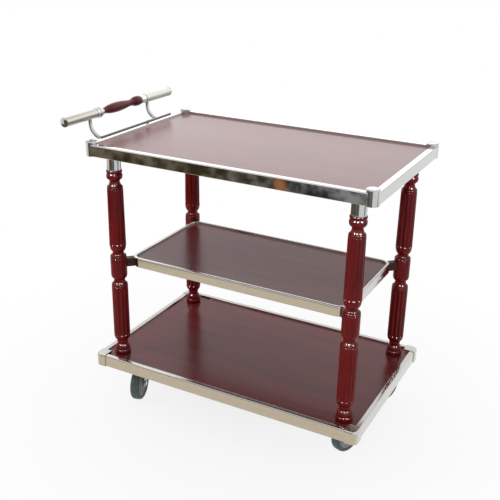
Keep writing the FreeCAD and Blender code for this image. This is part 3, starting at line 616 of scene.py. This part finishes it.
grip_start = -88
grip_end = 94
ferrules = on_bar([
    (-tube_start, rod_hole, 0), (-tube_start, 13.2, 0.3), (-117, 13.9, 0.4), (-112, 14.1, 0.8),
    (-109.4, 13.6, 0.4), (-108.4, 14.2, 0.4), (-106, 15.3, 1.2), (-102.2, 15.6, 1.6),
    (-98.4, 15.0, 1.4), (-96, 13.4, 0.8), (-94.6, 12.0, 0.5), (-93.6, 11.0, 0.4), (-92.8, 11.0, 0.3),
    (-91.8, 11.5, 0.4), (-90, 11.6, 0.6), (-88.4, 11.0, 0.4), (grip_start, 10.2, 0.2),
    (grip_start, rod_hole, 0)])
joined(ferrules, on_bar([
    (grip_end, rod_hole, 0), (grip_end, 11.0, 0.3), (94.8, 11.7, 0.4), (97, 11.8, 0.4),
    (98, 11.3, 0.3), (99, 11.8, 0.4), (116.6, 11.8, 0.4), (tube_start, 11.4, 0.3),
    (tube_start, rod_hole, 0)]))
stand(ferrules, "bar_ferrule_pair", chrome, nodes=["bar_ferrules"], crease=30)

grip = on_bar([
    (grip_start, rod_hole, 0), (grip_start, 8.4, 0.3), (-82, 8.3, 1.5), (-74, 8.6, 2.5),
    (-66, 10.1, 3.2), (-56, 12.0, 4.5), (-42, 13.5, 6), (-22, 14.2, 7), (-3, 13.6, 7), (14, 12.2, 6),
    (29, 10.2, 5), (42, 9.0, 4), (51, 9.4, 3.5), (58, 11.2, 2.8), (64, 13.0, 2.4), (71, 14.2, 3),
    (79, 14.4, 3.4), (86, 13.9, 2.4), (90.6, 12.7, 1.4), (93.2, 11.8, 0.6), (grip_end, 11.2, 0.2),
    (grip_end, rod_hole, 0)], 72)
grip_lacquer = red_lacquer("grip_lacquer", paint(80, 22, 29), paint(120, 38, 45), (1, 0.05, 1))
stand(grip, "bar_turned_grip", grip_lacquer, nodes=["bar_grip"], crease=30)


# Arms and their plate: round rod, welded under the tubes, coming straight down and bending in
# to a flat plate that is screwed to the outside of the left rail.
low, high = measured("bar_plate")
plate_out = low.x
arm_radius = 5.5
arm_bend = 45
arm_top = bar_z - 6
arm_low = bar_z - 62
into_plate = 0.5
facing_out = Matrix.Rotation(-math.pi / 2, 4, "Y")
arms = bmesh.new()
for arm_y in (-142, 131):
    arm = bmesh.new()
    ring = bmesh.ops.create_circle(arm, segments=36, radius=arm_radius)["verts"]
    bmesh.ops.translate(arm, vec=(bar_x, arm_y, arm_top), verts=ring)
    bend_top = pulled_on(arm, arm.edges[:], (0, 0, arm_low + arm_bend - arm_top))
    centre = (bar_x + arm_bend, arm_y, arm_low + arm_bend)
    loop = bent_round(arm, bend_top, centre, (0, 1, 0), -math.pi / 2)
    pulled_on(arm, loop, (plate_out + into_plate - bar_x - arm_bend, 0, 0))
    collar = turned([(0, 5, 0), (0, 7.4, 0.3), (1.4, 6.5, 0.6), (2.8, 5.7, 0.4), (3, 5.2, 0)], 36)
    joined(arm, collar, Matrix.Translation((plate_out, arm_y, arm_low)) @ facing_out)
    joined(arms, arm)
stand(arms, "bar_arm_pair", chrome, nodes=["bar_arms"], crease=30)

plate_half = (high.y - low.y) / 2
plate = closed_outline([(-plate_half, low.z, 4), (plate_half, low.z, 4),
                        (plate_half, high.z, 4), (-plate_half, high.z, 4)])
drawn_out(plate, (high.x - plate_out, 0, 0))
bmesh.ops.translate(plate, vec=(plate_out, 0, 0), verts=plate.verts)
outer = min(plate.faces, key=lambda face: face.calc_center_median().x)
rounded(plate, list(outer.edges), 0.6, 2)
# The plate's steel colour is darkened all over to stand for the dark room that the plate reflects: a
# painted reflection.
steel_darkened_as_reflection = sheet_steel("steel_darkened_as_reflection", paint(84, 80, 80), paint(112, 108, 108), 0.10)
stand(plate, "bar_back_plate", steel_darkened_as_reflection, nodes=["bar_plate"], crease=30)
screws = bmesh.new()
screw_z = (low.z + high.z) / 2
for screw_y in (-156, -106, 106, 156):
    joined(screws, screw(4, 1.8), Matrix.Translation((plate_out, screw_y, screw_z)) @ facing_out)
stand(screws, "bar_plate_screws", chrome, crease=30)


# Castor plates: pressed plate with its ball race and riveted king pin, bolted up into the base
# board at its four corners.
refinish("castor_plates", plated)


def hexagon(across, tall):
    """A hexagon head or nut with its corners rounded off, its seat at height zero."""
    bm = bmesh.new()
    bmesh.ops.create_circle(bm, segments=6, radius=across / math.sqrt(3), cap_ends=True)
    raised = bmesh.ops.extrude_face_region(bm, geom=bm.faces[:])["geom"]
    bmesh.ops.translate(bm, vec=(0, 0, tall), verts=points_of(raised))
    crown = [edge for edge in bm.edges if all(v.co.z > tall / 2 for v in edge.verts)]
    rounded(bm, crown, tall * 0.18, 2)
    return bm


joints = {joint["name"]: joint for joint in frame["joints"]}


def king_pin(name):
    """Where a castor's king pin stands, seen from above."""
    return [place / MM for place in joints["swivel_" + name]["pos_m"][:2]]


plate_thick = 3.2
plate_under = measured("castor_plates")[1].z - plate_thick
bolt_place = 26
bolts = bmesh.new()
for name, side_x, side_y in CORNERS:
    x, y = king_pin(name)
    for bolt_x in (x - bolt_place, x + bolt_place):
        for bolt_y in (y - bolt_place, y + bolt_place):
            seat = Matrix.Translation((bolt_x, bolt_y, plate_under))
            joined(bolts, hexagon(9, 4), seat @ Matrix.Rotation(math.pi, 4, "X"))
stand(bolts, "castor_bolts", plated, crease=30)


# Castors: each has a plated fork folded from strip, swivelling on its king pin, a moulded
# wheel with a grey-green tyre on a paler core, and an axle bolt with its nut.
rubber, mix = new_finish("grey_green_tyre")
scuff = mix.figure((70, 70, 70), 5, 0.65)
grit = mix.figure((900, 900, 900), 2)
mix.surface({
    "Base Color": mix.blend(mix.ramp(scuff, (0.35, 0.0), (0.7, 1.0)),
                            paint(74, 92, 95), paint(98, 112, 114)),
    "Roughness": 0.42 + 0.22 * scuff,
    "Normal": mix.bump(grit, 0.15, 0.0003),
})
core_plastic, mix = new_finish("grey_wheel_core")
scuff = mix.figure((60, 60, 60), 4, 0.6)
mix.surface({
    "Base Color": mix.blend(scuff, paint(150, 158, 156), paint(176, 182, 179)),
    "Roughness": 0.38 + 0.2 * scuff,
    "Normal": mix.bump(scuff, 0.1, 0.0004),
})

wheel_radius = 50
fork_inside = 14.6
fork_thick = 3
fork_outside = fork_inside + fork_thick
trail = 35
crown_top = 117.5
crown_low = 113.5
crown_half = 20


def fork_leg():
    """One side of the fork, flat, with its rounded boss about the axle."""
    bm = closed_outline([
        (-crown_half, crown_top - 2.2, 1.5), (-crown_half, crown_top - 13, 6), (trail - 9.5, 45, 3.4),
        (trail - 5, 39, 3.6), (trail + 5, 39, 3.6), (trail + 11, 45.5, 4.0), (trail + 11, 53, 3),
        (crown_half, crown_top - 13, 6), (crown_half, crown_top - 2.2, 1.5)])
    drawn_out(bm, (fork_thick, 0, 0))
    bmesh.ops.translate(bm, vec=(fork_inside, 0, 0), verts=bm.verts)
    outer = max(bm.faces, key=lambda face: face.calc_center_median().x)
    rounded(bm, list(outer.edges), 0.7, 2)
    return bm


def runs_across(edge):
    """Whether a straight edge runs along X."""
    return abs(edge.verts[0].co.x - edge.verts[1].co.x) > 1


for name, side_x, side_y in CORNERS:
    x, y = king_pin(name)
    along_axle = joints["roll_" + name]["axis"]
    place = turn_about(x, y, math.atan2(along_axle[1], along_axle[0]))
    axle_place = (place @ Matrix.Translation((0, trail, wheel_radius))
                  @ Matrix.Rotation(math.pi / 2, 4, "Y"))

    fork = bmesh.new()
    bmesh.ops.create_cube(fork, size=1)
    bridge = (2 * fork_outside, 2 * crown_half, crown_top - crown_low)
    bmesh.ops.scale(fork, vec=bridge, verts=fork.verts)
    bmesh.ops.translate(fork, vec=(0, 0, (crown_top + crown_low) / 2), verts=fork.verts)
    rounded(fork, [edge for edge in fork.edges if not runs_across(edge)
                   and all(v.co.z > crown_low + 1 for v in edge.verts)], 3.2, 5)
    joined(fork, fork_leg())
    joined(fork, fork_leg(), Matrix.Rotation(math.pi, 4, "Z") @ Matrix.Scale(-1, 4, (0, 1, 0)))
    bmesh.ops.transform(fork, matrix=place, verts=fork.verts)
    stand(fork, "fork_" + name, plated, "fork_" + name, ["castor_fork_" + name], 30)

    axle = turned([(-18, 0, 0), (-18, 5, 0), (18, 5, 0), (18, 0, 0)], 32)
    for side in (-1, 1):
        washer = turned([(fork_outside, 5, 0), (fork_outside, 8.2, 0.2),
                         (fork_outside + 1, 8.2, 0.3), (fork_outside + 1, 5, 0)], 40)
        joined(washer, hexagon(13.6, 2.9), Matrix.Translation((0, 0, fork_outside + 1)))
        joined(axle, washer, Matrix.Rotation(math.pi / 2 - side * math.pi / 2, 4, "X"))
    bmesh.ops.transform(axle, matrix=axle_place, verts=axle.verts)
    stand(axle, "axle_" + name, chrome, "fork_" + name, ["castor_axle_" + name], 30)

    tyre = turned([
        (-11.5, 37.5, 0), (-11.5, 38.5, 0.4), (-13.6, 40, 0.8), (-14, 42.5, 0.8), (-13.6, 45.6, 1.2),
        (-11.5, 48.6, 1.6), (-7.5, 49.8, 1.8), (-0.6, wheel_radius, 0), (-0.6, wheel_radius, 0),
        (7.5, 49.8, 1.8), (11.5, 48.6, 1.6), (13.6, 45.6, 1.2), (14, 42.5, 0.8), (13.6, 40, 0.8),
        (11.5, 38.5, 0.4), (11.5, 37.5, 0)], 96)
    bmesh.ops.transform(tyre, matrix=axle_place, verts=tyre.verts)
    stand(tyre, "tyre_" + name, rubber, "wheel_" + name, ["castor_wheel_" + name], 30)

    one_side = [(-14, 5.1, 0), (-14, 11, 0.8), (-11.5, 12.5, 1.2), (-9.2, 15, 1.5), (-8.8, 29, 1.5),
                (-10.6, 33.5, 1.2), (-12.4, 35.5, 0.6), (-12.4, 38, 0.4), (-11, 38.4, 0)]
    other_side = [(-along, radius, rounding) for along, radius, rounding in reversed(one_side)]
    core = turned(one_side + other_side, 96)
    for spoke in range(6):
        rib = bmesh.new()
        bmesh.ops.create_cube(rib, size=1)
        bmesh.ops.scale(rib, vec=(20, 3, 21.6), verts=rib.verts)
        rounded(rib, [edge for edge in rib.edges if runs_across(edge)], 0.8, 2)
        joined(core, rib, Matrix.Rotation(spoke * math.pi / 3, 4, "Z") @ Matrix.Translation((23, 0, 0)))
    bmesh.ops.transform(core, matrix=axle_place, verts=core.verts)
    stand(core, "wheel_core_" + name, core_plastic, "wheel_" + name,
          ["castor_wheel_" + name], 30)


# Rod: a plain plated bar through the push bar from plug to plug, which keeps the tubes, the
# ferrules and the grip in line. It lies wholly inside them.
refinish("bar_rod", plated)


# The studio: a white floor that keeps the trolley's soft shadow, two large soft lamps, three
# bright windows that only the lacquer reflects, and dark flags that only polish sees.
def white_seen(mix):
    """One for the rays that see the background straight or in a polish, zero for the rest."""
    camera, polish, glass = [mix.node("ShaderNodeLightPath", {}, {}, "Is " + ray + " Ray")
                             for ray in ("Camera", "Glossy", "Transmission")]
    return camera + polish + glass


def staged(bm, name, finish):
    """Stand a drawn shape in the studio, as no part of the trolley."""
    mesh = bpy.data.meshes.new(name)
    bm.to_mesh(mesh)
    bm.free()
    mesh.materials.append(finish)
    thing = bpy.data.objects.new(name, mesh)
    bpy.context.scene.collection.objects.link(thing)
    return thing


def pool(mix, place, scale, shift=(0, 0, 0)):
    """A round patch, placed by a scale and a shift, that fades from one at its centre to zero."""
    drawn = mix.node("ShaderNodeMapping", {}, {"Vector": place, "Scale": scale, "Location": shift})
    return mix.node("ShaderNodeTexGradient", {"gradient_type": "SPHERICAL"}, {"Vector": drawn}, "Fac")


# The floor is white to the camera and in a polish, a little less so near the trolley, where its
# shadow falls. In a polish it is warm in front of the trolley, as a wooden floor would be.
floor_paint, mix = new_finish("white_floor")
place = mix.node("ShaderNodeTexCoord", {}, {}, "Object")
near = pool(mix, place, (0.9, 0.9, 0.9))
wide = pool(mix, place, (0.65, 0.65, 0.65))
matt = mix.node("ShaderNodeBsdfDiffuse", {}, {"Color": paint(244, 244, 243)})
across = mix.node("ShaderNodeSeparateXYZ", {}, {"Vector": place}, "Y")
in_front = mix.ramp(0.5 - 0.5 * across, (0.58, 0.0), (0.66, 1.0))
in_front = in_front * mix.ramp(wide, (0.0, 0.0), (0.06, 1.0))
in_polish = mix.node("ShaderNodeLightPath", {}, {}, "Is Glossy Ray")
tint = mix.blend(in_front * in_polish, (1, 1, 1, 1), paint(234, 220, 197))
white = mix.node("ShaderNodeEmission", {}, {"Color": tint, "Strength": 1.0})
mixed = mix.node("ShaderNodeMixShader", {}, {0: white_seen(mix) * (1 - 0.18 * near), 1: matt, 2: white})
mix.node("ShaderNodeOutputMaterial", {}, {"Surface": mixed})
ground = bmesh.new()
bmesh.ops.create_grid(ground, x_segments=1, y_segments=1, size=14)
staged(ground, "floor", floor_paint)

studio = bpy.data.worlds.new("studio")
bpy.context.scene.world = studio
mix = Recipe(studio)
sky = mix.node("ShaderNodeBackground", {}, {
    "Color": (1, 1, 1, 1), "Strength": 0.48 + 0.52 * white_seen(mix)})
mix.node("ShaderNodeOutputWorld", {}, {"Surface": sky})


def lamp(name, size, power, at, towards):
    """A lit rectangle that the camera doesn't see."""
    light = bpy.data.lights.new(name, "AREA")
    light.shape = "RECTANGLE"
    light.size, light.size_y = size
    light.energy = power
    holder = bpy.data.objects.new(name, light)
    bpy.context.scene.collection.objects.link(holder)
    aim = Vector(at) - Vector(towards)
    holder.matrix_world = Matrix.Translation(at) @ aim.to_track_quat("Z", "Y").to_matrix().to_4x4()
    holder.visible_camera = False
    return holder


for softbox in (lamp("overhead_softbox", (2.4, 1.8), 22, (-0.6, 0.5, 2.9), (0, 0, 0.4)),
                lamp("left_softbox", (1.0, 1.6), 20, (-2.4, -2.2, 1.7), (0, 0, 0.5))):
    softbox.visible_glossy = False
lamp("back_panel", (1.7, 0.6), 3.0, (-0.45, 0.6, 1.17), (-0.45, 0, 1.17)).visible_diffuse = False
lacquered = bpy.data.collections.new("lacquered")
for name in ["turned_leg_" + name for name, side_x, side_y in CORNERS] + ["bar_turned_grip"]:
    lacquered.objects.link(bpy.data.objects[name])
for name, at in (("left_window", (-0.9, -2.3, 2.2)), ("middle_window", (1.1, -2.3, 2.3)),
                 ("right_window", (2.5, -0.7, 2.2))):
    window = lamp(name, (0.7, 1.1), 320, at, (0, 0, 0.5))
    window.visible_diffuse = False
    window.light_linking.receiver_collection = lacquered

# The flags stand for a dark room: olive at the left, grey at the right, and one amber light.
flag_paint, mix = new_finish("dark_flag")
place = mix.node("ShaderNodeTexCoord", {}, {}, "Object")
along = mix.node("ShaderNodeSeparateXYZ", {}, {"Vector": place}, "X")
patches = mix.figure((24, 24, 9), 5, 0.72)
mottle = mix.ramp(patches, (0.43, 0.0), (0.59, 1.0))
olive = mix.blend(mottle, paint(60, 52, 36), paint(134, 124, 104))
grey = mix.blend(mottle, paint(40, 40, 43), paint(164, 163, 164))
shade = mix.blend(mix.ramp(along * 0.5 + 0.5, (0.18, 0.0), (0.42, 1.0)), olive, grey)
lit = pool(mix, place, (24, 0, 12), (7.7, 0, -4.6))
shade = mix.blend(mix.ramp(lit, (0.2, 0.0), (0.6, 1.0)), shade, paint(184, 124, 76))
glow = mix.node("ShaderNodeEmission", {}, {"Color": shade, "Strength": 1.0})
mix.node("ShaderNodeOutputMaterial", {}, {"Surface": glow})


def flag(bm, name):
    """A dark sheet that shows in polish only."""
    sheet = staged(bm, name, flag_paint)
    sheet.visible_camera = False
    sheet.visible_diffuse = False
    sheet.visible_shadow = False


card_wide = 2.16
card_tall = 1.0
card_middle = (-0.28, -1.35, 0.42)
card = bmesh.new()
bmesh.ops.create_grid(card, x_segments=1, y_segments=1, size=0.5)
bmesh.ops.scale(card, vec=(card_wide, card_tall, 1), verts=card.verts)
bmesh.ops.rotate(card, cent=(0, 0, 0), matrix=Matrix.Rotation(math.pi / 2, 3, "X"), verts=card.verts)
bmesh.ops.translate(card, vec=card_middle, verts=card.verts)
flag(card, "standing_flag")

# A ring of dark cloth on the floor, with gaps where the rails mirror the white floor.
off_floor = 0.004
ring_inside = 1.45
ring_outside = 2.7
carpet = bmesh.new()
for start, sweep in ((-190, 88), (4, 16), (80, 92)):
    heading = Matrix.Rotation(math.radians(start), 3, "Z")
    ends = [carpet.verts.new(heading @ Vector((reach, 0, off_floor)))
            for reach in (ring_inside, ring_outside)]
    bmesh.ops.spin(carpet, geom=ends + [carpet.edges.new(ends)], axis=(0, 0, 1), cent=(0, 0, 0),
                   dvec=(0, 0, 0), angle=math.radians(sweep), steps=40,
                   use_merge=False, use_duplicate=False)
flag(carpet, "floor_flag")


# Camera: stood at the photograph's place, a little above the trolley and round to its right,
# and rolled by a degree, as the photograph's upright edges show.
azimuth = math.radians(27.83)
elevation = math.radians(22.49)
roll = math.radians(1.02)
target = Vector((0.0012, 0, 0.4763))
distance = 2.2776
back = Vector((math.sin(azimuth) * math.cos(elevation), -math.cos(azimuth) * math.cos(elevation),
               math.sin(elevation)))
level = Vector((math.cos(azimuth), math.sin(azimuth), 0))
upright = back.cross(level)
right = math.cos(roll) * level + math.sin(roll) * upright
up = math.cos(roll) * upright - math.sin(roll) * level
eye = bpy.data.cameras.new("camera")
eye.sensor_width = 36
eye.lens = 57.55
camera = bpy.data.objects.new("camera", eye)
bpy.context.scene.collection.objects.link(camera)
facing = Matrix((right, up, back)).transposed().to_4x4()
camera.matrix_world = Matrix.Translation(target + back * distance) @ facing
bpy.context.scene.camera = camera
bpy.context.scene.view_settings.view_transform = "Standard"
